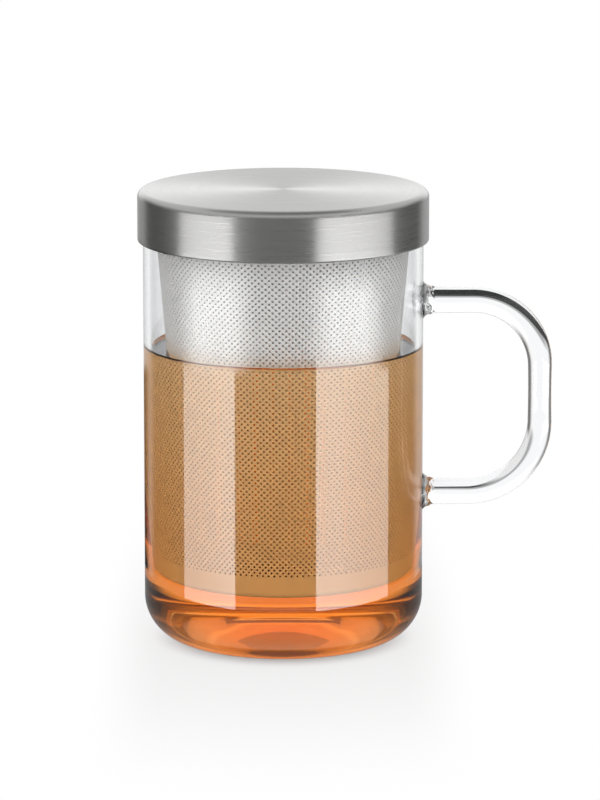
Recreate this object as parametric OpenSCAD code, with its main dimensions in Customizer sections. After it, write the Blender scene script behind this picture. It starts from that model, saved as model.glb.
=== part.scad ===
// Glass tea mug with a rod handle, a lift-out steel strainer and a lift-off steel lid.
// Millimetres, +Z up. The origin is the centre of the foot, and the handle points along +X.

/* [Mug] */
// Outside diameter of the glass
mug_d = 87; // [80:0.5:100]
// Height of the rim above the table
mug_h = 136; // [125:1:160]
// Thickness of the glass wall
glass_t = 2.3; // [1.6:0.1:3]
// Thickness of the glass floor
floor_t = 7; // [4:0.5:10]
// Radius of the outer corner between the foot and the wall
foot_round = 14; // [8:0.5:18]
// Diameter of the shallow hollow pressed into the underside
dimple_d = 36; // [20:1:44]
// Depth of that hollow at its centre
dimple_depth = 1.6; // [0.8:0.1:2.4]

/* [Handle] */
// Diameter of the glass rod where it leaves the mug
rod_d = 7.9; // [6.5:0.1:9.5]
// Diameter of the rod at the middle of the grip
grip_d = 6.9; // [5.5:0.1:8.5]
// Distance from the rim down to the centreline of the upper arm
handle_drop = 28.8; // [20:0.2:36]
// Distance between the centrelines of the two arms
handle_span = 60.8; // [52:0.2:72]
// Distance from the glass out to the centreline of the grip
handle_reach = 36.5; // [32:0.5:45]
// Bend radius of the upper corner
bend_top = 20.6; // [12:0.2:24]
// Bend radius of the lower corner
bend_low = 22.5; // [12:0.2:24]
// Diameter of the flared ends fused to the glass
weld_d = 11.7; // [10.5:0.1:14]
// Length of each flared end
weld_len = 3.5; // [2.5:0.1:5]

/* [Strainer] */
// Clear gap between the strainer's collar and the glass
collar_gap = 1.2; // [0.6:0.1:2]
// Height of the collar below its flange
collar_h = 8; // [6:0.5:12]
// Thickness of the collar and its flange
flange_t = 0.6; // [0.4:0.1:1]
// Thickness of the perforated sheet
sheet_t = 0.4; // [0.3:0.05:0.6]
// Outside diameter of the strainer at its lower edge
basket_d = 60.5; // [50:0.5:68]
// Clear height between the strainer and the glass floor
basket_lift = 12.7; // [6:0.1:25]
// Radius of the strainer's lower edge
edge_round = 2.2; // [1.5:0.1:3.5]
// Height of the lap where the base cap goes up inside the sheet
lap_h = 4; // [2:0.5:5]
// Height of the plain band below the lowest row of holes
plain_low = 7; // [6.5:0.5:15]
// Height of the plain band above the highest row of holes
plain_high = 2.6; // [2.5:0.1:8]
// Diameter of the holes in the sheet
hole_d = 3.2; // [1.5:0.1:4]
// Holes in each row round the sheet
hole_cols = 28; // [12:1:32]
// Rows of holes up the sheet
hole_rows = 9; // [4:1:12]
// Diameter of the holes in the base
base_hole_d = 2; // [1:0.1:2.6]
// Distance between the rings of holes in the base
base_pitch = 5; // [4:0.1:8]

/* [Lid] */
// Height of the lid from its lower edge to its top
lid_h = 15.8; // [12:0.2:20]
// Height of the lid's top above the strainer's flange
lid_head = 4.8; // [4.4:0.1:7]
// Clear gap between the lid's skirt and the glass
lid_gap = 1.1; // [0.8:0.1:1.8]
// Thickness of the lid's steel
lid_t = 0.6; // [0.5:0.1:0.8]
// Radius of the lid's upper edge
lid_round = 2.2; // [1:0.1:3]
// Depth of the plug below the strainer's flange
plug_h = 6.7; // [5.5:0.1:10]
// Radial thickness of the seal round the plug
seal_t = 1.7; // [1.4:0.1:2.4]

/* [Fits] */
// Gap between a lifted-off piece and what it rests on
seat_gap = 0.3; // [0.1:0.05:0.5]
// Gap between the seal's lips and the strainer
lip_gap = 0.3; // [0.2:0.05:0.6]
// Gap between the flange's edge and the lid's skirt
flange_gap = 0.5; // [0.3:0.05:0.8]

/* [Hidden] */
$fn = 96;
eps = 0.01;
cut = 1;

// Glass
mug_r = mug_d / 2;
bore_r = mug_r - glass_t;
bore_round = foot_round - glass_t;
dimple_r = dimple_d / 2;
dimple_ball_r = (dimple_r * dimple_r + dimple_depth * dimple_depth) / (2 * dimple_depth);

// Handle
rod_r = rod_d / 2;
bend_rod_r = (rod_d + grip_d) / 4;
grip_r = grip_d / 2;
weld_r = weld_d / 2;
weld_rise = weld_r - rod_r;
weld_fillet = (weld_rise * weld_rise + weld_len * weld_len) / (2 * weld_rise);
arm_top_z = mug_h - handle_drop;
arm_low_z = arm_top_z - handle_span;
grip_x = mug_r + handle_reach;
grip_top_z = arm_top_z - bend_top;
grip_low_z = arm_low_z + bend_low;
grip_mid_z = (grip_top_z + grip_low_z) / 2;

// Strainer
flange_z = mug_h + seat_gap;
flange_top_z = flange_z + flange_t;
collar_z = flange_z - collar_h;
collar_out_r = bore_r - collar_gap;
band_r = collar_out_r - flange_t;
base_z = floor_t + basket_lift;
edge_z = base_z + edge_round;
edge_r = basket_d / 2;
taper = (band_r - edge_r) / (collar_z - edge_z);
row_low_z = base_z + plain_low;
row_high_z = collar_z - plain_high;
row_pitch = (row_high_z - row_low_z) / (hole_rows - 1);
base_flat_r = edge_r - edge_round;
base_rings = floor((base_flat_r - base_hole_d) / base_pitch);
holes_per_ring = 6;

// Lid
skirt_r = mug_r + lid_gap;
lid_r = skirt_r + lid_t;
flange_r = skirt_r - flange_gap;
liner_z = flange_top_z + seat_gap;
lid_top_z = liner_z + lid_head;
lid_low_z = lid_top_z - lid_h;
liner_lip_z = lid_top_z - lid_round - lid_t;
seal_r = band_r - sheet_t - lip_gap;
plug_r = seal_r - seal_t;
plug_z = liner_z - plug_h;
bead_r = 0.5;
hem_r = 0.5;
lip_r = 0.6;
lip_step = seal_t - lip_r;
seal_low_z = plug_z + 3 * bead_r;
lip_pitch = (liner_z - seal_low_z) / 3;

// Radius of the sheet's outer face at a height on its taper
function sheet_r(z) = edge_r + (z - edge_z) * taper;

// Half section of a round vessel with a rounded lower corner
module vessel_section(r, h, corner) {
  square([r - corner, h]);
  translate([0, corner]) square([r, h - corner]);
  translate([r - corner, corner]) circle(r = corner);
}

// Right half of the section plane, to keep a section off the axis's far side
module right_half() {
  square([mug_d, mug_h * 2]);
}

module mug_glass() {
  color("azure", 0.35)
  rotate_extrude() {
    difference() {
      intersection() {
        vessel_section(mug_r, mug_h - glass_t / 2, foot_round);
        right_half();
      }
      translate([0, floor_t]) vessel_section(bore_r, mug_h, bore_round);
      translate([0, dimple_depth - dimple_ball_r]) circle(r = dimple_ball_r, $fn = 360);
    }
    translate([mug_r - glass_t / 2, mug_h - glass_t / 2]) circle(d = glass_t);
  }
}

// A quarter bend of the rod in the XZ plane, its centre at the origin
module rod_bend(bend, turn) {
  rotate([90, 0, 0]) rotate([0, 0, turn]) rotate_extrude(angle = 90)
    translate([bend, 0]) circle(r = bend_rod_r);
}

// A straight arm from the glass to its bend, with the flared end on the glass
module rod_arm(z, bend) {
  arm_end_x = grip_x - bend;
  translate([0, 0, z]) rotate([0, 90, 0]) {
    translate([0, 0, mug_r + weld_len])
      cylinder(r1 = rod_r, r2 = bend_rod_r, h = arm_end_x - mug_r - weld_len);
    translate([0, 0, mug_r]) rotate_extrude() difference() {
      translate([0, -cut]) square([weld_r, weld_len + cut]);
      translate([rod_r + weld_fillet, weld_len]) circle(r = weld_fillet);
      translate([weld_r, 0]) square([cut, weld_len]);
    }
  }
}

module mug_handle() {
  color("azure", 0.35)
  difference() {
    union() {
      rod_arm(arm_top_z, bend_top);
      rod_arm(arm_low_z, bend_low);
      translate([grip_x - bend_top, 0, grip_top_z]) rod_bend(bend_top, 0);
      translate([grip_x - bend_low, 0, grip_low_z]) rod_bend(bend_low, -90);
      translate([grip_x, 0, grip_mid_z])
        cylinder(r1 = grip_r, r2 = bend_rod_r, h = grip_top_z - grip_mid_z);
      translate([grip_x, 0, grip_low_z])
        cylinder(r1 = bend_rod_r, r2 = grip_r, h = grip_mid_z - grip_low_z);
    }
    cylinder(r = mug_r, h = mug_h, $fn = 192);
  }
}

module strainer_rim() {
  color("silver")
  rotate_extrude() {
    translate([band_r, collar_z]) square([flange_t, collar_h + flange_t]);
    translate([band_r, flange_z]) square([flange_r - flange_t / 2 - band_r, flange_t]);
    translate([flange_r - flange_t / 2, flange_z + flange_t / 2]) circle(d = flange_t);
  }
}

module strainer_wall() {
  color("silver")
  difference() {
    rotate_extrude() polygon([
      [edge_r - sheet_t, edge_z],
      [edge_r, edge_z],
      [band_r, collar_z],
      [band_r, flange_top_z],
      [band_r - sheet_t, flange_top_z],
      [band_r - sheet_t, collar_z],
    ]);
    for (row = [0 : hole_rows - 1]) {
      for (col = [0 : hole_cols - 1]) {
        z = row_low_z + row * row_pitch;
        rotate([0, 0, (col + (row % 2) / 2) * 360 / hole_cols])
          translate([sheet_r(z) - sheet_t - cut, 0, z])
            rotate([0, 90, 0]) cylinder(d = hole_d, h = sheet_t + 2 * cut, $fn = 16);
      }
    }
  }
}

module strainer_base() {
  color("silver")
  difference() {
    rotate_extrude() {
      translate([0, base_z]) square([base_flat_r, sheet_t]);
      translate([base_flat_r, edge_z]) intersection() {
        difference() {
          circle(r = edge_round);
          circle(r = edge_round - sheet_t);
        }
        translate([0, -edge_round]) square(edge_round);
      }
      polygon([
        [edge_r - 2 * sheet_t, edge_z - edge_round / 2],
        [edge_r - sheet_t, edge_z - edge_round / 2],
        [edge_r - sheet_t, edge_z],
        [sheet_r(edge_z + lap_h) - sheet_t, edge_z + lap_h],
        [sheet_r(edge_z + lap_h) - 2 * sheet_t, edge_z + lap_h],
        [edge_r - 2 * sheet_t, edge_z],
      ]);
    }
    translate([0, 0, base_z - cut]) cylinder(d = base_hole_d, h = sheet_t + 2 * cut, $fn = 16);
    for (ring = [1 : base_rings]) {
      for (spot = [0 : holes_per_ring * ring - 1]) {
        rotate([0, 0, spot * 360 / (holes_per_ring * ring)])
          translate([ring * base_pitch, 0, base_z - cut])
            cylinder(d = base_hole_d, h = sheet_t + 2 * cut, $fn = 16);
      }
    }
  }
}

module lid_shell() {
  color("silver")
  rotate_extrude() {
    translate([0, lid_top_z - lid_t]) square([lid_r - lid_round, lid_t]);
    translate([lid_r - lid_round, lid_top_z - lid_round]) intersection() {
      difference() {
        circle(r = lid_round);
        circle(r = lid_round - lid_t);
      }
      square(lid_round);
    }
    translate([skirt_r, lid_low_z + hem_r]) square([lid_t, lid_h - lid_round - hem_r]);
    translate([lid_r - hem_r, lid_low_z + hem_r]) circle(r = hem_r);
  }
}

module lid_liner() {
  color("silver")
  rotate_extrude() {
    translate([0, plug_z]) square([plug_r - lid_t, lid_t]);
    translate([plug_r - lid_t, plug_z + lid_t]) intersection() {
      circle(r = lid_t);
      translate([0, -lid_t]) square([lid_t, lid_t]);
    }
    translate([plug_r - lid_t, plug_z + lid_t]) square([lid_t, plug_h]);
    translate([plug_r - bead_r / 2, plug_z + 2 * bead_r]) circle(r = bead_r);
    translate([plug_r - lid_t, liner_z]) square([skirt_r - plug_r + lid_t, lid_t]);
    translate([skirt_r - lid_t, liner_z]) square([lid_t, liner_lip_z - liner_z]);
  }
}

module lid_seal() {
  color("whitesmoke")
  rotate_extrude() {
    translate([plug_r, seal_low_z]) square([lip_step, liner_z - seal_low_z]);
    for (lip = [1 : 2]) {
      translate([plug_r + lip_step, seal_low_z + lip * lip_pitch]) circle(r = lip_r);
    }
  }
}

mug_glass();
mug_handle();
strainer_rim();
strainer_wall();
strainer_base();
lid_shell();
lid_liner();
lid_seal();
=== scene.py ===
"""Glass tea mug with a rod handle, a lift-out perforated strainer and a lift-off steel lid."""

import math

import bmesh
import bpy
import numpy as np
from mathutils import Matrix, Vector
from mathutils.geometry import delaunay_2d_cdt


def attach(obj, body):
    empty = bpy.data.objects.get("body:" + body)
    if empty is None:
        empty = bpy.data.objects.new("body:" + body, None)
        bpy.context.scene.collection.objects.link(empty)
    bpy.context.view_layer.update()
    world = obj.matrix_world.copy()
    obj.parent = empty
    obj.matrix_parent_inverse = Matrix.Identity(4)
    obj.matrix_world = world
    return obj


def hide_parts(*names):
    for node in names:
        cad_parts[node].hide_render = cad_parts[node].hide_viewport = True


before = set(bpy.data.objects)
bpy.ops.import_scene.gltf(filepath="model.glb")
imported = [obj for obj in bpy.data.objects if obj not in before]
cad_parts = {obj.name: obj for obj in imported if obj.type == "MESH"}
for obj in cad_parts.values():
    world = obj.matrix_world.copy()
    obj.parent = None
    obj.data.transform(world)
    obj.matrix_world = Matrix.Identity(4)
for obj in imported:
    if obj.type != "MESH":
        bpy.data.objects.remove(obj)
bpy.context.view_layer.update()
MM = 0.001
TAU = 2 * math.pi

# Sizes in millimetres. They are the solids', but for the rod's thickness, the place of its grip, the inside
# of the glass floor, the hollow under the foot, and the thickness that the perforated sheet is shown with.
MUG_R, MUG_H, GLASS_T, FLOOR_T = 43.5, 136.0, 2.3, 5.3
FOOT_ROUND, BORE_ROUND, DIMPLE_R, DIMPLE_DEPTH = 14.0, 17.0, 14.0, 1.4
BORE_R = MUG_R - GLASS_T
ROD_R, BEND_ROD_R, GRIP_R, GRIP_FADE = 4.1, 4.0, 3.6, 26.0
ARM_TOP_Z, ARM_LOW_Z, GRIP_X, BEND_TOP, BEND_LOW = 107.2, 46.4, 79.95, 20.6, 22.5
BEND_TOP_X, BEND_TOP_Z = GRIP_X - BEND_TOP, ARM_TOP_Z - BEND_TOP
BEND_LOW_X, BEND_LOW_Z = GRIP_X - BEND_LOW, ARM_LOW_Z + BEND_LOW
WELD_R, WELD_LEN, ROD_BITE, WALL_FIT = 5.85, 3.5, 0.3, 1.0
FLANGE_Z, FLANGE_T, COLLAR_Z, BAND_R, FLANGE_R = 136.3, 0.6, 128.3, 39.4, 44.1
COLLAR_ROUND, MOUTH_ROUND = 0.8, 0.4
SHEET_T, BASE_Z, EDGE_ROUND, EDGE_R, LAP_H = 0.4, 19.7, 2.2, 30.25, 4.0
EDGE_Z = BASE_Z + EDGE_ROUND
TAPER = (BAND_R - EDGE_R) / (COLLAR_Z - EDGE_Z)
LID_TOP, LID_H, LID_ROUND, LID_T, SKIRT_R, HEM_R, HEM_GAP = 142.0, 15.8, 2.2, 0.6, 44.6, 0.5, 0.2
LID_R, LID_LOW = SKIRT_R + LID_T, LID_TOP - LID_H
LINER_Z, PLUG_Z, PLUG_R, PLUG_ROUND = 137.2, 130.5, 37.0, 1.2
SEAL_T, LIP_R, BEAD_R = 1.7, 0.6, 0.5

# Lumps in the welds: their height, how fast they rise from the rod, and for each wave its turns round the
# rod, its drift along it, its share and its start.
LUMP_H, LUMP_RISE, LUMP_WAVES = 0.16, 0.7, ((4, 5, 1.0, 0.0), (7, -9, 0.8, 1.3))

# The holes of the real sheet, which narrow inwards, and how many rows of them each mesh has. FACE_T is the
# thickness that the perforated sheet is shown with.
HOLE_COLS, HOLE_ROWS, HOLE_R, HOLE_R_IN, HOLE_SIDES = 118, 110, 0.37, 0.27, 8
ROW_LOW, ROW_HIGH, ROWS_EACH = 26.9, 127.4, 19
ROW_PITCH = (ROW_HIGH - ROW_LOW) / (HOLE_ROWS - 1)
FACE_T = 0.3
# The faces' material numbers: the outer face and rims, the inner face, and the bores of the holes. The inner
# face and the bores carry painted shade: dark colours that stand in for the shade inside the strainer and in
# its holes.
OUTSIDE_LOOK, INSIDE_PAINTED_SHADE_LOOK, BORE_PAINTED_SHADE_LOOK = 0, 1, 2
BASE_HOLE_PITCH, BASE_HOLE_R, BASE_ROW_SHARE = 1.28, 0.30, 0.866

TEA_Z, TINT_FROM_Z, MENISCUS, MENISCUS_REACH, TEA_BITE = 92.5, 5.0, 1.1, 2.4, 0.15

# The camera: its place in metres, its tilt down in degrees, and its lens and sensor in millimetres.
CAMERA_PLACE, CAMERA_TILT, LENS, SENSOR = (0.0052, -1.6, 0.3954), 11.31, 235.4, 36.0

# The floor in metres: its half size and drop, then where its glow rises with the distance from the mug's
# axis, which paints a shadow near the mug, and where this painted shade under the mug ends to either side.
# TABLE_R, in millimetres, is how far glass and metal see it.
FLOOR_HALF, FLOOR_DROP, FLOOR_GREY = 6.0, 0.0002, (0.45, 0.45, 0.45, 1)
CONTACT_REACH, CONTACT_GLOW = (0.029, 0.042), 0.45
FAR_REACH, NEAR_GLOW = (0.05, 0.20), 0.79
ASIDE_REACH = (0.036, 0.060)
TABLE_R, TABLE_MIRRORED = 116.0, 0.3

# The studio's walls: pairs of degrees from the camera's side and level.
WALL_LEVELS = (
    (0, 0.26),
    (22, 0.28),
    (33, 0.36),
    (45, 0.40),
    (60, 0.42),
    (78, 0.38),
    (96, 0.32),
    (112, 0.20),
    (134, 0.16),
    (150, 0.9),
    (162, 1.45),
    (180, 1.45),
)
# Levels overhead, under the walls and low behind. The mirrored ones are what mirrored rays see.
TOP_LEVEL, TOP_MIRRORED, UNDER_FRONT, UNDER_BACK, UNDER_ASIDE = 1.15, 0.35, 0.5, 0.02, 0.85
LOW_BACK, DRY_MIRRORED, TEA_MIRRORED, GREY_BACK = 1.0, 0.6, 0.03, 0.4
# Levels that light the matt surfaces, by where these are, and the shares of them behind and in front.
SPREAD_OPEN, SPREAD_IN_GLASS, SPREAD_IN_TEA = 1.5, 2.1, 3.25
SPREAD_BEHIND, SPREAD_IN_FRONT = 0.7, 1.02
# The low screens: first and last degrees where their edges show sharp and where they show soft, the width of
# those edges in degrees, the level, and the degrees between which the sharp ones fall to a share of it.
SCREENS, SOFT_SCREENS, SCREEN_LEVEL = ((-90, -40), (27, 97)), ((-84, -32), (29, 82)), 8.8
SHARP_EDGE, SOFT_EDGE, SCREENS_FALL, FALLEN = 1.0, 30.0, (45.0, 100.0), 0.5
# Where one part of the studio turns into the next: heights as sines of elevation, and parts of a direction to
# the handle's side and to the front. Seen from the camera, the glass mirrors directions below DRY_FROM where
# tea stands behind it, and above it where it is dry.
HIGH_FROM, TOP_FROM, LOW_TO, GREY_TO = (0.8, 0.9), (0.15, 0.5), (-0.03, 0.05), (-0.31, -0.25)
SCREENS_FROM, DRY_FROM, SCREENS_TO = (-0.31, -0.28), (-0.1915, -0.1885), (-0.178, -0.168)
UNDER_TO, UNDER_BEHIND_TO = (-0.41, -0.31), (-0.365, -0.345)
LIGHT_SIDE, HANDLE_SIDE = (-0.25, 0.0), (0.04, 0.2)
BEHIND, UNDER_FRONT_FROM, SPREAD_FADE = (-0.9, -0.75), (-0.5, 0.0), (-0.7, 0.5)
# Limits for the faces of glass and tea that a ray has passed: past the first it has been in the glass, past
# the second it has gone through more than the rod, and past the third it has been in and out of the tea.
# The last is the limit for the matt surfaces that have spread it.
THROUGH_GLASS, THROUGH_MUG, THROUGH_TEA, SPREAD_ONCE = 1.5, 2.5, 5.5, 0.5


# ---------------------------------------------------------------- geometry
def arc(cx, cz, r, start, end, steps):
    """Points on an arc in the section plane, angles in degrees."""
    turn = np.radians(np.linspace(start, end, steps + 1))
    return [(cx + r * math.cos(t), cz + r * math.sin(t)) for t in turn]


def line(a, b, steps):
    """Points between two section points, without the first."""
    return [(a[0] + (b[0] - a[0]) * i / steps, a[1] + (b[1] - a[1]) * i / steps) for i in range(1, steps + 1)]


def make_object(name, verts, faces, sharp=32, body=None, replaces=(), slot=None):
    """A smooth-shaded mesh object from points in millimetres, with edges over the sharp angle kept crisp."""
    mesh = bpy.data.meshes.new(name)
    mesh.from_pydata([tuple(c * MM for c in v) for v in verts], [], faces)
    return finish_mesh(name, mesh, sharp, body, replaces)


def finish_mesh(name, mesh, sharp, body, replaces, outward=True):
    """Turns the faces outward if asked, shades the mesh, hangs it under its body and hides the CAD parts it
    replaces.
    """
    if outward:
        bm = bmesh.new()
        bm.from_mesh(mesh)
        bmesh.ops.recalc_face_normals(bm, faces=bm.faces)
        bm.to_mesh(mesh)
        bm.free()
    mesh.polygons.foreach_set("use_smooth", np.ones(len(mesh.polygons), dtype=bool))
    mesh.set_sharp_from_angle(angle=math.radians(sharp))
    mesh.update()
    obj = bpy.data.objects.new(name, mesh)
    bpy.context.scene.collection.objects.link(obj)
    if body:
        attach(obj, body)
    if replaces:
        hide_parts(*replaces)
    return obj


def lathe(name, section, steps=288, sharp=32, **says):
    """Turns a closed section about Z. Points on the axis become poles."""
    verts, rings = [], []
    for r, z in section:
        if abs(r) < 1e-9:
            rings.append([len(verts)])
            verts.append((0.0, 0.0, z))
        else:
            rings.append(list(range(len(verts), len(verts) + steps)))
            verts += [(r * math.cos(TAU * i / steps), r * math.sin(TAU * i / steps), z) for i in range(steps)]
    faces = []
    pairs = list(zip(rings, rings[1:]))
    if len(rings[0]) > 1 and len(rings[-1]) > 1:
        pairs.append((rings[-1], rings[0]))
    for low, high in pairs:
        for i in range(steps):
            j = (i + 1) % steps
            if len(low) == 1 and len(high) == 1:
                break
            if len(low) == 1:
                faces.append((low[0], high[j], high[i]))
            elif len(high) == 1:
                faces.append((low[i], low[j], high[0]))
            else:
                faces.append((low[i], low[j], high[j], high[i]))
    return make_object(name, verts, faces, sharp, **says)


def quad_mesh(name, points, quads, looks):
    """A mesh of four-sided faces from points in millimetres, with the number of each face's material."""
    mesh = bpy.data.meshes.new(name)
    mesh.vertices.add(len(points))
    mesh.vertices.foreach_set("co", (points * MM).astype(np.float32).ravel())
    mesh.loops.add(quads.size)
    mesh.loops.foreach_set("vertex_index", quads.astype(np.int32).ravel())
    mesh.polygons.add(len(quads))
    mesh.polygons.foreach_set("loop_start", np.arange(0, quads.size, 4, dtype=np.int32))
    mesh.polygons.foreach_set("loop_total", np.full(len(quads), 4, dtype=np.int32))
    mesh.polygons.foreach_set("material_index", looks.astype(np.int32))
    mesh.update(calc_edges=True)
    return mesh


def smooth(t):
    """A soft step from 0 to 1."""
    t = min(max(t, 0.0), 1.0)
    return t * t * (3 - 2 * t)


# ---------------------------------------------------------------- the mug
def mug_section():
    ball = (DIMPLE_R**2 + DIMPLE_DEPTH**2) / (2 * DIMPLE_DEPTH)
    section = []
    for i in range(25):
        r = DIMPLE_R * i / 24
        section.append((r, DIMPLE_DEPTH - ball + math.sqrt(ball**2 - r**2)))
    section += line((DIMPLE_R, 0), (MUG_R - FOOT_ROUND, 0), 4)
    section += arc(MUG_R - FOOT_ROUND, FOOT_ROUND, FOOT_ROUND, -90, 0, 40)[1:]
    section += line((MUG_R, FOOT_ROUND), (MUG_R, MUG_H - GLASS_T / 2), 24)
    section += arc(MUG_R - GLASS_T / 2, MUG_H - GLASS_T / 2, GLASS_T / 2, 0, 180, 16)[1:]
    section += line((BORE_R, MUG_H - GLASS_T / 2), (BORE_R, FLOOR_T + BORE_ROUND), 24)
    section += arc(BORE_R - BORE_ROUND, FLOOR_T + BORE_ROUND, BORE_ROUND, 0, -90, 40)[1:]
    section += line((BORE_R - BORE_ROUND, FLOOR_T), (0, FLOOR_T), 12)
    return section


def handle_path():
    """Centreline points in the XZ plane with their directions, from the upper weld round to the lower one."""
    start_x = MUG_R - ROD_BITE
    quarter = [(math.sin(t), math.cos(t)) for t in (math.radians(90 * i / 40) for i in range(40))]
    points = [(start_x + (BEND_TOP_X - start_x) * i / 60, ARM_TOP_Z, 1.0, 0.0) for i in range(60)]
    for sin, cos in quarter:
        points.append((BEND_TOP_X + BEND_TOP * sin, BEND_TOP_Z + BEND_TOP * cos, cos, -sin))
    points += [(GRIP_X, BEND_TOP_Z + (BEND_LOW_Z - BEND_TOP_Z) * i / 12, 0.0, -1.0) for i in range(12)]
    for sin, cos in quarter:
        points.append((BEND_LOW_X + BEND_LOW * cos, BEND_LOW_Z - BEND_LOW * sin, -sin, -cos))
    points += [(BEND_LOW_X + (start_x - BEND_LOW_X) * i / 60, ARM_LOW_Z, -1.0, 0.0) for i in range(61)]
    return points


def rod_radius(x, z):
    """The rod is thinnest at the middle of the grip and flares where it is fused to the glass."""
    out = smooth((x - MUG_R - WELD_LEN) / (BEND_TOP_X - MUG_R - WELD_LEN))
    r = ROD_R + (BEND_ROD_R - ROD_R) * out
    r += (GRIP_R - BEND_ROD_R) * smooth(1 - abs(z - (BEND_TOP_Z + BEND_LOW_Z) / 2) / GRIP_FADE)
    rise = WELD_R - ROD_R
    fillet = (rise**2 + WELD_LEN**2) / (2 * rise)
    back = MUG_R + WELD_LEN - x
    if back > 0:
        back = min(back, WELD_LEN)
        r += fillet - math.sqrt(fillet**2 - back**2)
    return r


def weld_lump(x, angle):
    """How far the fused glass of a weld stands out of its flare or sinks into it."""
    back = (MUG_R + WELD_LEN - x) / WELD_LEN
    if back <= 0:
        return 0.0
    height = LUMP_H * math.sin(math.pi * min(back, 1.0) ** LUMP_RISE)
    wave = 0.0
    for turns, drift, share, start in LUMP_WAVES:
        wave += share * math.sin(turns * angle + drift * back + start)
    return height * wave


def make_handle(sides=96):
    verts, faces = [], []
    path = handle_path()
    for x, z, dx, dz in path:
        r = rod_radius(x, z)
        for k in range(sides):
            a = TAU * k / sides
            lumpy = r + weld_lump(x, a)
            up, side = lumpy * math.cos(a), lumpy * math.sin(a)
            px, py, pz = x - dz * up, side, z + dx * up
            if x < MUG_R + WALL_FIT and abs(dx) == 1.0:
                # near the glass the rings follow the round wall
                near = 1 - smooth((x - MUG_R) / WALL_FIT)
                px -= near * (MUG_R - math.sqrt(MUG_R**2 - py**2))
            verts.append((px, py, pz))
    n = len(path)
    for i in range(n - 1):
        for k in range(sides):
            m = (k + 1) % sides
            faces.append((i * sides + k, i * sides + m, (i + 1) * sides + m, (i + 1) * sides + k))
    faces.append(tuple(range(sides))[::-1])
    faces.append(tuple(range((n - 1) * sides, n * sides)))
    return make_object(
        "handle_rod", verts, faces, 40, body="mug", replaces=("mug_handle",), slot="clear_glass"
    )


def tea_section():
    """The tea bites a little into the glass, so that light passes straight from one to the other."""
    r_out, corner, low = BORE_R + TEA_BITE, BORE_ROUND + TEA_BITE, FLOOR_T - TEA_BITE
    section = [(0, low)]
    section += line((0, low), (r_out - corner, low), 12)
    section += arc(r_out - corner, low + corner, corner, -90, 0, 40)[1:]
    section += line((r_out, low + corner), (r_out, TEA_Z + MENISCUS), 20)
    for i in range(1, 17):
        t = i / 16
        section.append((r_out - MENISCUS_REACH * t, TEA_Z + MENISCUS * (1 - t) ** 3))
    section += line((r_out - MENISCUS_REACH, TEA_Z), (0, TEA_Z), 16)
    return section


# ---------------------------------------------------------------- the strainer
def sheet_r(z):
    """Radius of the sheet's outer face."""
    if z >= COLLAR_Z:
        return BAND_R
    return EDGE_R + (z - EDGE_Z) * TAPER


def cell_middles(first, last):
    """The middles of a band's cells, in half cells round the sheet. Every other row is shifted by a half."""
    return 2 * np.arange(HOLE_COLS) + np.arange(first, last)[:, None] % 2


def band_points(first, last, inset, hole_r):
    """Points of one side of a band: on the lines between rows, then between cells, then round the holes."""
    half_cell = TAU / HOLE_COLS / 2
    middles = cell_middles(first, last)
    line_z = ROW_LOW + (np.arange(first, last + 1)[:, None] - 0.5) * ROW_PITCH
    row_z = ROW_LOW + np.arange(first, last)[:, None] * ROW_PITCH
    turn = np.arange(HOLE_SIDES) * TAU / HOLE_SIDES
    hole_z = row_z[..., None] + hole_r * np.sin(turn)
    hole_turn = hole_r * np.cos(turn) / (EDGE_R + (hole_z - EDGE_Z) * TAPER)
    places = (
        (np.arange(2 * HOLE_COLS) * half_cell, line_z),
        ((middles - 1) * half_cell, row_z),
        ((middles * half_cell)[..., None] + hole_turn, hole_z),
    )
    points = []
    for theta, z in (np.broadcast_arrays(*place) for place in places):
        r = EDGE_R + (z - EDGE_Z) * TAPER - inset
        points.append(np.stack([r * np.cos(theta), r * np.sin(theta), z], -1).reshape(-1, 3))
    return np.concatenate(points)


def band_faces(first, last):
    """A band's outer and inner faces, bores and two rims, as the numbers of their points."""
    rows, around = last - first, 2 * HOLE_COLS
    row, col = np.arange(rows)[:, None], np.arange(HOLE_COLS)
    middle = cell_middles(first, last)
    first_between = (rows + 1) * around
    first_hole = first_between + rows * HOLE_COLS
    to_inside = first_hole + rows * HOLE_COLS * HOLE_SIDES

    def on_line(number, spot):
        return number * around + spot % around

    def between(spot):
        return first_between + row * HOLE_COLS + spot % HOLE_COLS

    # the cell's outline has as many points as its hole
    outline = (
        between(col + 1),
        on_line(row + 1, middle + 1),
        on_line(row + 1, middle),
        on_line(row + 1, middle - 1),
        between(col),
        on_line(row, middle - 1),
        on_line(row, middle),
        on_line(row, middle + 1),
    )
    edge = np.stack(outline, -1)
    hole = first_hole + (row * HOLE_COLS + col)[..., None] * HOLE_SIDES + np.arange(HOLE_SIDES)
    edge_next, hole_next = np.roll(edge, -1, -1), np.roll(hole, -1, -1)
    outer = np.stack([edge, edge_next, hole_next, hole], -1).reshape(-1, 4)
    inner = outer[:, ::-1] + to_inside
    bore = np.stack([hole, hole_next, hole_next + to_inside, hole + to_inside], -1).reshape(-1, 4)
    low = np.arange(around)
    low_next = (low + 1) % around
    high, high_next = low + rows * around, low_next + rows * around
    low_rim = np.stack([low, low + to_inside, low_next + to_inside, low_next], -1)
    high_rim = np.stack([high, high_next, high_next + to_inside, high + to_inside], -1)
    return outer, inner, bore, low_rim, high_rim


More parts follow.
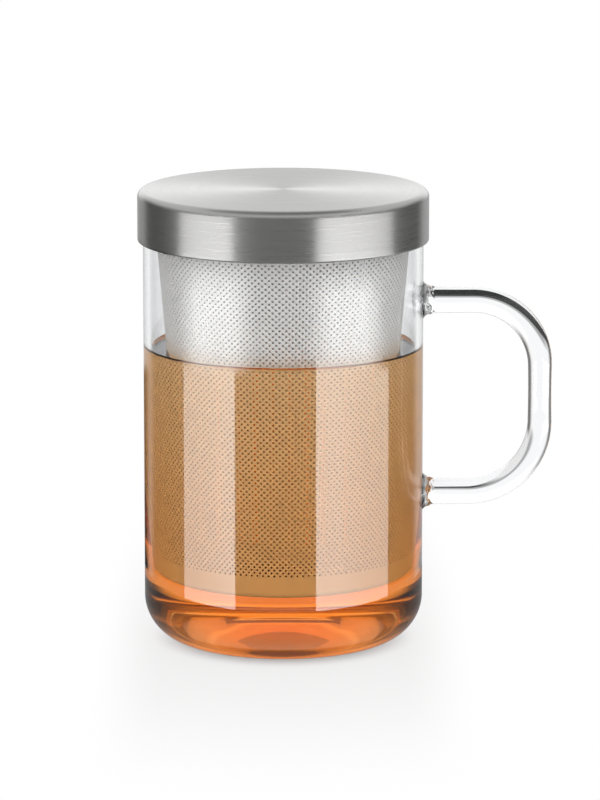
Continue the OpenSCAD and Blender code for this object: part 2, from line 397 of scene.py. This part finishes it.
def sheet_band(name, first, last):
    """Rows first to last of the perforated sheet, as one closed mesh with a real hole in every cell."""
    outside, inside = band_points(first, last, 0.0, HOLE_R), band_points(first, last, FACE_T, HOLE_R_IN)
    parts = band_faces(first, last)
    looks = (OUTSIDE_LOOK, INSIDE_PAINTED_SHADE_LOOK, BORE_PAINTED_SHADE_LOOK, OUTSIDE_LOOK, OUTSIDE_LOOK)
    face_looks = np.repeat(looks, [len(part) for part in parts])
    mesh = quad_mesh(name, np.concatenate([outside, inside]), np.concatenate(parts), face_looks)
    return finish_mesh(name, mesh, 35, "infuser", ("strainer_wall",), outward=False)


def plain_band(name, low, high):
    """A ring of plain sheet between two heights, with a third where it turns upright at the collar."""
    heights = [low, high]
    if low < COLLAR_Z < high:
        heights.insert(1, COLLAR_Z)
    outer = [(sheet_r(z), z) for z in heights]
    inner = [(r - FACE_T, z) for r, z in reversed(outer)]
    return lathe(name, outer + inner, body="infuser", replaces=("strainer_wall",), slot="strainer_steel")


def perforated_disc(radius, low, high):
    """Points and faces of a round plate with staggered holes, from a constrained triangulation."""
    points, loops = [], []

    def add_ring(x, y, r, sides, turn):
        """Adds a round loop whose first point is turned by a share of a side."""
        loops.append(list(range(len(points), len(points) + sides)))
        angles = [TAU * (i + turn) / sides for i in range(sides)]
        points.extend([Vector((x + r * math.cos(t), y + r * math.sin(t))) for t in angles])

    add_ring(0.0, 0.0, radius, 144, 0.0)
    row_pitch = BASE_HOLE_PITCH * BASE_ROW_SHARE
    reach = int(radius / row_pitch) + 1
    for row in range(-reach, reach + 1):
        y = row * row_pitch
        for col in range(-reach, reach + 1):
            x = (col + (row % 2) / 2) * BASE_HOLE_PITCH
            if math.hypot(x, y) <= radius - BASE_HOLE_PITCH:
                add_ring(x, y, BASE_HOLE_R, HOLE_SIDES, 0.5)
    edges = [(loop[i], loop[(i + 1) % len(loop)]) for loop in loops for i in range(len(loop))]
    faces_without_holes, closest = 5, 1e-5
    verts, _, faces, *_ = delaunay_2d_cdt(points, edges, [], faces_without_holes, closest)
    count = len(verts)
    solid = [(v.x, v.y, high) for v in verts] + [(v.x, v.y, low) for v in verts]
    made = [tuple(f) for f in faces] + [tuple(i + count for i in reversed(f)) for f in faces]
    border = {}
    for f in faces:
        for a, b in zip(f, list(f[1:]) + [f[0]]):
            if (b, a) in border:
                del border[(b, a)]
            else:
                border[(a, b)] = True
    made += [(b, a, a + count, b + count) for a, b in border]
    return solid, made


def base_edge_section():
    """The base's rounded edge and its lap up inside the sheet."""
    flat_r, lap_z = EDGE_R - EDGE_ROUND, EDGE_Z + LAP_H
    lap_r = sheet_r(lap_z) - SHEET_T
    section = arc(flat_r, EDGE_Z, EDGE_ROUND, -90, 0, 12)
    section += [(EDGE_R - SHEET_T, EDGE_Z), (lap_r, lap_z)]
    section += [(lap_r - SHEET_T, lap_z), (EDGE_R - 2 * SHEET_T, EDGE_Z)]
    section += arc(flat_r, EDGE_Z, EDGE_ROUND - SHEET_T, -20, -90, 8)
    return section


def collar_section():
    """The collar round the sheet and the flange that hangs on the rim."""
    outer_r, top = BAND_R + FLANGE_T, FLANGE_Z + FLANGE_T
    section = [(BAND_R, COLLAR_Z), (outer_r, COLLAR_Z)]
    section += arc(outer_r + COLLAR_ROUND, FLANGE_Z - COLLAR_ROUND, COLLAR_ROUND, 180, 90, 6)
    section += arc(FLANGE_R - FLANGE_T / 2, FLANGE_Z + FLANGE_T / 2, FLANGE_T / 2, -90, 90, 10)
    section += arc(BAND_R + MOUTH_ROUND, top - MOUTH_ROUND, MOUTH_ROUND, 90, 180, 4)
    return section


def make_strainer():
    shown = []
    for number, first in enumerate(range(0, HOLE_ROWS, ROWS_EACH), 1):
        last = min(first + ROWS_EACH, HOLE_ROWS)
        shown.append(sheet_band(f"strainer_sheet_{number}", first, last))
    shown.append(plain_band("strainer_band_low", EDGE_Z, ROW_LOW - ROW_PITCH / 2))
    shown.append(plain_band("strainer_band_top", ROW_HIGH + ROW_PITCH / 2, FLANGE_Z + FLANGE_T))
    base = {"body": "infuser", "replaces": ("strainer_base",), "slot": "strainer_steel"}
    verts, faces = perforated_disc(EDGE_R - EDGE_ROUND, BASE_Z, BASE_Z + SHEET_T)
    shown.append(make_object("strainer_base_disc", verts, faces, 35, **base))
    shown.append(lathe("strainer_base_edge", base_edge_section(), **base))
    rim = {"body": "infuser", "replaces": ("strainer_rim",), "slot": "strainer_steel"}
    shown.append(lathe("strainer_collar", collar_section(), **rim))
    return shown


# ---------------------------------------------------------------- the lid
def shell_section():
    section = [(0, LID_TOP)]
    section += line((0, LID_TOP), (LID_R - LID_ROUND, LID_TOP), 24)
    section += arc(LID_R - LID_ROUND, LID_TOP - LID_ROUND, LID_ROUND, 90, 0, 16)[1:]
    section += line((LID_R, LID_TOP - LID_ROUND), (LID_R, LID_LOW + HEM_R), 8)
    section += arc(LID_R - HEM_R, LID_LOW + HEM_R, HEM_R, 0, -180, 12)[1:]
    section += [(SKIRT_R, LID_LOW + 2 * HEM_R + HEM_GAP)]
    section += line(section[-1], (SKIRT_R, LID_TOP - LID_ROUND), 4)
    section += arc(LID_R - LID_ROUND, LID_TOP - LID_ROUND, LID_ROUND - LID_T, 0, 90, 8)[1:]
    section += [(0, LID_TOP - LID_T)]
    return section


def liner_section():
    lip_top = LID_TOP - LID_ROUND - LID_T
    section = [(0, PLUG_Z)]
    section += line((0, PLUG_Z), (PLUG_R - PLUG_ROUND, PLUG_Z), 12)
    section += arc(PLUG_R - PLUG_ROUND, PLUG_Z + PLUG_ROUND, PLUG_ROUND, -90, 0, 8)[1:]
    section += arc(PLUG_R - BEAD_R / 2, PLUG_Z + 2 * BEAD_R, BEAD_R, -60, 60, 8)
    section += [(PLUG_R, LINER_Z), (SKIRT_R, LINER_Z), (SKIRT_R, lip_top), (SKIRT_R - LID_T, lip_top)]
    section += [(SKIRT_R - LID_T, LINER_Z + LID_T), (PLUG_R - LID_T, LINER_Z + LID_T)]
    section += [(PLUG_R - LID_T, PLUG_Z + PLUG_ROUND), (PLUG_R - PLUG_ROUND, PLUG_Z + LID_T)]
    section += [(0, PLUG_Z + LID_T)]
    return section


def seal_section():
    low = PLUG_Z + 3 * BEAD_R
    pitch = (LINER_Z - low) / 3
    step_r = PLUG_R + SEAL_T - LIP_R
    section = [(PLUG_R, low), (step_r, low)]
    for lip in (1, 2):
        section += arc(step_r, low + lip * pitch, LIP_R, -90, 90, 10)
    section += [(step_r, LINER_Z), (PLUG_R, LINER_Z)]
    return section


# ---------------------------------------------------------------- materials
# The part of a noise's range in which the grain of brushed steel changes, and its shares of shade and gloss.
GRAIN, GRAIN_SHADE, GRAIN_GLOSS = (0.3, 0.7), (0.93, 1.0), (0.85, 1.15)


class Tree:
    """The nodes of a material or a world. A node is fed with numbers, colours or other nodes' outputs."""

    def __init__(self, owner):
        owner.use_nodes = True
        self.nodes, self.links = owner.node_tree.nodes, owner.node_tree.links

    def put(self, socket, value):
        if isinstance(value, bpy.types.NodeSocket):
            self.links.new(value, socket)
        else:
            socket.default_value = value

    def feed(self, made, **inputs):
        """Fills a node's inputs, with an underscore for each space in their names."""
        for name, value in inputs.items():
            self.put(made.inputs[name.replace("_", " ")], value)

    def add(self, kind, settings=None, **inputs):
        """Adds a node. Its settings come before its inputs, because they choose among these."""
        made = self.nodes.new(kind)
        for key, value in (settings or {}).items():
            setattr(made, key, value)
        self.feed(made, **inputs)
        return made

    def axes(self, kind="Object"):
        """X, Y and Z of a place in the object, or of a direction in the world."""
        split = self.add("ShaderNodeSeparateXYZ", Vector=self.add("ShaderNodeTexCoord").outputs[kind])
        return [split.outputs[axis] for axis in "XYZ"]

    def noise(self, vector, scale, detail, roughness=0.5):
        made = self.add("ShaderNodeTexNoise", Vector=vector, Scale=scale, Detail=detail, Roughness=roughness)
        return made.outputs["Fac"]

    def object_noise(self, scale, detail):
        return self.noise(self.add("ShaderNodeTexCoord").outputs["Object"], scale, detail)

    def bump(self, shader, height, strength, distance):
        """Gives a shader fine unevenness without a change of shape."""
        made = self.add("ShaderNodeBump", Height=height, Strength=strength, Distance=distance)
        self.feed(shader, Normal=made.outputs["Normal"])

    def calc(self, operation, *values, clamp=False):
        """The output of a Math node."""
        made = self.add("ShaderNodeMath", {"operation": operation, "use_clamp": clamp})
        for socket, value in zip(made.inputs, values):
            self.put(socket, value)
        return made.outputs[0]

    def step(self, value, low, high, at_low=0.0, at_high=1.0, kind="SMOOTHSTEP"):
        """Turns a value from one level to another between two limits."""
        limits = {"From_Min": low, "From_Max": high, "To_Min": at_low, "To_Max": at_high}
        made = self.add("ShaderNodeMapRange", {"interpolation_type": kind}, Value=value, **limits)
        return made.outputs["Result"]

    def mixed(self, share, a, b, kind="FLOAT", blend="MIX"):
        """Mixes two levels or two colours: all of a at a share of 0, all of b at 1."""
        settings = {"data_type": kind, "blend_type": blend}
        return self.add("ShaderNodeMix", settings, Factor=share, A=a, B=b).outputs["Result"]

    def mixed_shaders(self, share, a, b):
        made = self.add("ShaderNodeMixShader", Fac=share)
        self.put(made.inputs[1], a)
        self.put(made.inputs[2], b)
        return made.outputs[0]


def material(name):
    """A new material with its tree and its shader."""
    mat = bpy.data.materials.new(name)
    tree = Tree(mat)
    return mat, tree, tree.nodes["Principled BSDF"]


def glass_material():
    mat, tree, shader = material("clear_glass")
    tree.feed(shader, Base_Color=(0.985, 0.992, 1.0, 1), Transmission_Weight=1, Roughness=0.0, IOR=1.47)
    tree.bump(shader, tree.object_noise(scale=28.0, detail=1.0), strength=0.04, distance=0.001)
    return mat


def tea_material():
    """Tea, a little yellower towards its surface and darker with its depth."""
    mat, tree, shader = material("tea")
    rise = tree.step(tree.axes()[2], TINT_FROM_Z * MM, TEA_Z * MM, kind="LINEAR")
    tint = tree.mixed(rise, (1, 0.69, 0.42, 1), (1, 0.72, 0.46, 1), "RGBA")
    tree.feed(shader, Base_Color=tint, Transmission_Weight=1, Roughness=0.0, IOR=1.333)
    depth = tree.add("ShaderNodeVolumeAbsorption", Color=(0.994, 0.67, 0.02, 1), Density=50.0)
    tree.feed(tree.nodes["Material Output"], Volume=depth.outputs["Volume"])
    return mat


def steel_material(name, color, rough, spread, streak):
    """Brushed steel. The brushing runs round the axis: streaks are long round it and fine across it."""
    mat, tree, shader = material(name)
    x, y, z = tree.axes()
    squared = tree.calc("ADD", tree.calc("MULTIPLY", x, x), tree.calc("MULTIPLY", y, y))
    across = tree.calc("ADD", tree.calc("SQRT", squared), z)
    stretched = tree.add("ShaderNodeCombineXYZ", X=x, Y=y, Z=tree.calc("MULTIPLY", across, streak))
    grain = tree.noise(stretched.outputs["Vector"], scale=60.0, detail=4.0, roughness=0.7)
    shade = tree.step(grain, *GRAIN, *GRAIN_SHADE, "LINEAR")
    gloss = tree.step(grain, *GRAIN, *(rough * share for share in GRAIN_GLOSS), "LINEAR")
    tint = tree.mixed(1.0, (*color, 1), shade, "RGBA", "MULTIPLY")
    tangent = tree.add("ShaderNodeTangent", {"direction_type": "RADIAL", "axis": "Z"})
    tree.feed(shader, Base_Color=tint, Roughness=gloss, Tangent=tangent.outputs["Tangent"])
    tree.feed(shader, Metallic=1.0, Anisotropic=spread, Anisotropic_Rotation=0.25)
    return mat


def sheet_material(name, color, rough, metal):
    """Etched sheet steel with the fine unevenness that the etching leaves. The colour is the steel's own,
    except the dark colours of the sheet's inner face and of its bores, which are painted shade.
    """
    mat, tree, shader = material(name)
    tree.feed(shader, Base_Color=(*color, 1), Roughness=rough, Metallic=metal)
    tree.bump(shader, tree.object_noise(scale=420.0, detail=2.0), strength=0.12, distance=0.0002)
    return mat


def silicone_material():
    mat, tree, shader = material("silicone")
    ramp = tree.add("ShaderNodeValToRGB", Fac=tree.object_noise(scale=90.0, detail=3.0))
    ramp.color_ramp.elements[0].color = (0.74, 0.74, 0.71, 1)
    ramp.color_ramp.elements[1].color = (0.82, 0.82, 0.80, 1)
    tree.feed(shader, Base_Color=ramp.outputs["Color"], Roughness=0.55, Subsurface_Weight=0.2)
    return mat


# ---------------------------------------------------------------- stage
def floor_material():
    """White that glows where it is seen, less so near the mug: there the glow is lowered by the distance from
    the mug's axis, a painted shadow, and the matt part shows the mug's real soft shadow. Glass and metal see
    its edge.
    """
    mat, tree, shader = material("floor")
    tree.nodes.remove(shader)
    path = tree.add("ShaderNodeLightPath").outputs
    bent = tree.calc("ADD", path["Is Glossy Ray"], path["Is Transmission Ray"], clamp=True)
    seen = tree.calc("ADD", path["Is Camera Ray"], bent, clamp=True)
    place = tree.add("ShaderNodeTexCoord").outputs["Object"]
    reach = tree.add("ShaderNodeVectorMath", {"operation": "LENGTH"}, Vector=place).outputs["Value"]
    aside = tree.calc("ABSOLUTE", tree.axes()[0])
    # Painted shadow: the share of white falls near the mug by the distance from its axis, but not to its
    # sides, while the matt part keeps the real soft shadow.
    painted_contact_shadow = tree.step(reach, *CONTACT_REACH, CONTACT_GLOW, 1.0)
    glow = tree.calc("MULTIPLY", painted_contact_shadow, tree.step(reach, *FAR_REACH, NEAR_GLOW, 1.0))
    glow = tree.mixed(tree.step(aside, *ASIDE_REACH), glow, 1.0)
    strength = tree.mixed(path["Is Reflection Ray"], 1.0, TABLE_MIRRORED)
    matt = tree.add("ShaderNodeBsdfDiffuse", Color=FLOOR_GREY)
    white = tree.add("ShaderNodeEmission", Color=(1, 1, 1, 1), Strength=strength)
    clear = tree.add("ShaderNodeBsdfTransparent")
    table = tree.mixed_shaders(tree.calc("MULTIPLY", seen, glow), matt.outputs[0], white.outputs[0])
    past = tree.calc("MULTIPLY", bent, tree.calc("GREATER_THAN", reach, TABLE_R * MM))
    tree.feed(tree.nodes["Material Output"], Surface=tree.mixed_shaders(past, table, clear.outputs[0]))
    return mat


def make_stage():
    """A white floor that keeps the mug's soft shadow, deepened near the mug by a painted shadow, and turns to
    plain white further out. Glass and metal see only the part of it near the mug, as on a small white table,
    and the studio past its edge."""
    mesh = bpy.data.meshes.new("floor")
    corners = [(-1, -1), (1, -1), (1, 1), (-1, 1)]
    mesh.from_pydata([(x * FLOOR_HALF, y * FLOOR_HALF, 0) for x, y in corners], [], [(0, 1, 2, 3)])
    floor = bpy.data.objects.new("floor", mesh)
    floor.location.z = -FLOOR_DROP
    bpy.context.scene.collection.objects.link(floor)
    floor.data.materials.append(floor_material())


class Studio(Tree):
    """The studio as a world. Each method called with_ takes the level so far and adds a part of it."""

    def __init__(self, world):
        super().__init__(world)
        self.x, y, self.height = self.axes("Generated")
        self.front = self.calc("MULTIPLY", y, -1)
        self.turn = self.calc("DEGREES", self.calc("ARCTAN2", self.x, self.front))
        self.aside = self.calc("ABSOLUTE", self.turn)
        self.behind = self.step(self.front, *BEHIND, 1.0, 0.0)
        self.dry = self.step(self.height, *DRY_FROM)
        path = self.add("ShaderNodeLightPath").outputs
        self.seen, self.mirrored = path["Is Camera Ray"], path["Is Reflection Ray"]
        self.scattered, self.passed = path["Diffuse Depth"], path["Transmission Depth"]

    def walls(self):
        """Soft lights to the sides in front, dark flags to the sides behind and white behind."""
        ramp = self.add("ShaderNodeValToRGB", Fac=self.calc("DIVIDE", self.aside, 180.0))
        elements = ramp.color_ramp.elements
        while len(elements) < len(WALL_LEVELS):
            elements.new(0.5)
        for element, (degrees, level) in zip(elements, WALL_LEVELS):
            element.position = degrees / 180
            element.color = (level, level, level, 1)
        return ramp.outputs["Color"]

    def with_back(self, level):
        """The low wall behind and its grey foot. Mirrored rays see it darker, most of all left of the tea."""
        low = self.calc("MULTIPLY", self.behind, self.step(self.height, *LOW_TO, 1.0, 0.0))
        foot = self.calc("MULTIPLY", self.behind, self.step(self.height, *GREY_TO, 1.0, 0.0))
        light_side = self.calc("MAXIMUM", self.dry, self.step(self.x, *LIGHT_SIDE))
        low_mirrored = self.mixed(light_side, TEA_MIRRORED, DRY_MIRRORED)
        level = self.mixed(low, level, self.mixed(self.mirrored, LOW_BACK, low_mirrored))
        return self.mixed(foot, level, GREY_BACK)

    def with_top(self, level):
        """A soft light overhead, which mirrored rays see darker in its middle."""
        high = self.calc("MULTIPLY", self.mirrored, self.step(self.height, *HIGH_FROM))
        top = self.mixed(high, TOP_LEVEL, TOP_MIRRORED)
        return self.mixed(self.step(self.height, *TOP_FROM), level, top)

    def with_under(self, level):
        """Dark under the wall behind, but light past the handle and for rays through the whole mug."""
        past_handle = self.step(self.x, *HANDLE_SIDE, UNDER_BACK, UNDER_ASIDE)
        through_mug = self.calc("GREATER_THAN", self.passed, THROUGH_MUG)
        past_glass = self.mixed(through_mug, past_handle, UNDER_ASIDE)
        under = self.mixed(self.step(self.front, *UNDER_FRONT_FROM), past_glass, UNDER_FRONT)
        narrow_edge = self.step(self.height, *UNDER_BEHIND_TO)
        edge = self.mixed(self.behind, self.step(self.height, *UNDER_TO), narrow_edge)
        return self.mixed(edge, under, level)

    def share_on(self, screens, edge):
        """How much of a direction lies on the screens, with edges as many degrees wide as stated."""
        total = 0.0
        for first, last in screens:
            off = self.calc("ABSOLUTE", self.calc("SUBTRACT", self.turn, (first + last) / 2))
            half = (last - first) / 2
            total = self.calc("ADD", self.step(off, half - edge / 2, half + edge / 2, 1.0, 0.0), total)
        return total

    def with_screens(self, level):
        """Two low bright screens for mirrored rays alone, sharp-edged by the tea and soft-edged above it."""
        falling = self.step(self.aside, *SCREENS_FALL, 1.0, FALLEN, "LINEAR")
        sharp = self.calc("MULTIPLY", self.share_on(SCREENS, SHARP_EDGE), falling)
        screens = self.mixed(self.dry, sharp, self.share_on(SOFT_SCREENS, SOFT_EDGE))
        high_edge = self.step(self.height, *SCREENS_TO, 1.0, 0.0)
        band = self.calc("MULTIPLY", self.step(self.height, *SCREENS_FROM), high_edge)
        screens = self.calc("MULTIPLY", screens, band)
        return self.mixed(self.calc("MULTIPLY", screens, self.mirrored), level, SCREEN_LEVEL)

    def with_spread(self, level):
        """The even light of matt surfaces, stronger for those in the glass and in the tea."""
        in_tea = self.calc("GREATER_THAN", self.passed, THROUGH_TEA)
        in_glass = self.calc("GREATER_THAN", self.passed, THROUGH_GLASS)
        even = self.mixed(in_glass, SPREAD_OPEN, self.mixed(in_tea, SPREAD_IN_GLASS, SPREAD_IN_TEA))
        fade = self.step(self.front, *SPREAD_FADE, SPREAD_BEHIND, SPREAD_IN_FRONT)
        spread = self.calc("GREATER_THAN", self.scattered, SPREAD_ONCE)
        return self.mixed(spread, level, self.calc("MULTIPLY", even, fade))


def make_world():
    world = bpy.data.worlds.new("studio")
    bpy.context.scene.world = world
    studio = Studio(world)
    level = studio.with_under(studio.with_top(studio.with_back(studio.walls())))
    level = studio.with_spread(studio.with_screens(level))
    studio.feed(studio.nodes["Background"], Color=studio.mixed(studio.seen, level, 1.0))


def make_camera():
    data = bpy.data.cameras.new("camera")
    data.lens, data.sensor_width = LENS, SENSOR
    camera = bpy.data.objects.new("camera", data)
    camera.location = CAMERA_PLACE
    camera.rotation_euler = (math.radians(90 - CAMERA_TILT), 0, 0)
    bpy.context.scene.collection.objects.link(camera)
    bpy.context.scene.camera = camera


# ---------------------------------------------------------------- the object
def dress(objects, *mats):
    """Gives each object the materials, in the order of its faces' material numbers."""
    for obj in objects:
        obj.data.materials.clear()
        for mat in mats:
            obj.data.materials.append(mat)


body = lathe("mug_body", mug_section(), body="mug", replaces=("mug_glass",), slot="clear_glass")
dress([body, make_handle()], glass_material())
tea = lathe("tea", tea_section(), sharp=50, body="mug")
dress([tea], tea_material())
dress(
    make_strainer(),
    sheet_material("strainer_steel", (0.72, 0.71, 0.69), rough=0.5, metal=0.4),
    # painted shade: the inner face and the bores are dark where the real sheet is the same steel, standing in
    # for the shade inside the strainer
    sheet_material("strainer_inside_painted_shade", (0.12, 0.115, 0.11), rough=0.5, metal=1.0),
    sheet_material("strainer_bores_painted_shade", (0.015, 0.013, 0.012), rough=0.7, metal=0.0),
)
shell = lathe("lid_cap", shell_section(), body="lid", replaces=("lid_shell",), slot="lid_steel")
liner = lathe("lid_plug", liner_section(), body="lid", replaces=("lid_liner",), slot="lid_steel")
dress([shell, liner], steel_material("lid_steel", (0.36, 0.358, 0.354), rough=0.30, spread=0.75, streak=60.0))
seal = lathe("lid_seal_ring", seal_section(), body="lid", replaces=("lid_seal",), slot="silicone")
dress([seal], silicone_material())

make_camera()
make_world()
make_stage()
bpy.context.scene.view_settings.view_transform = "Standard"
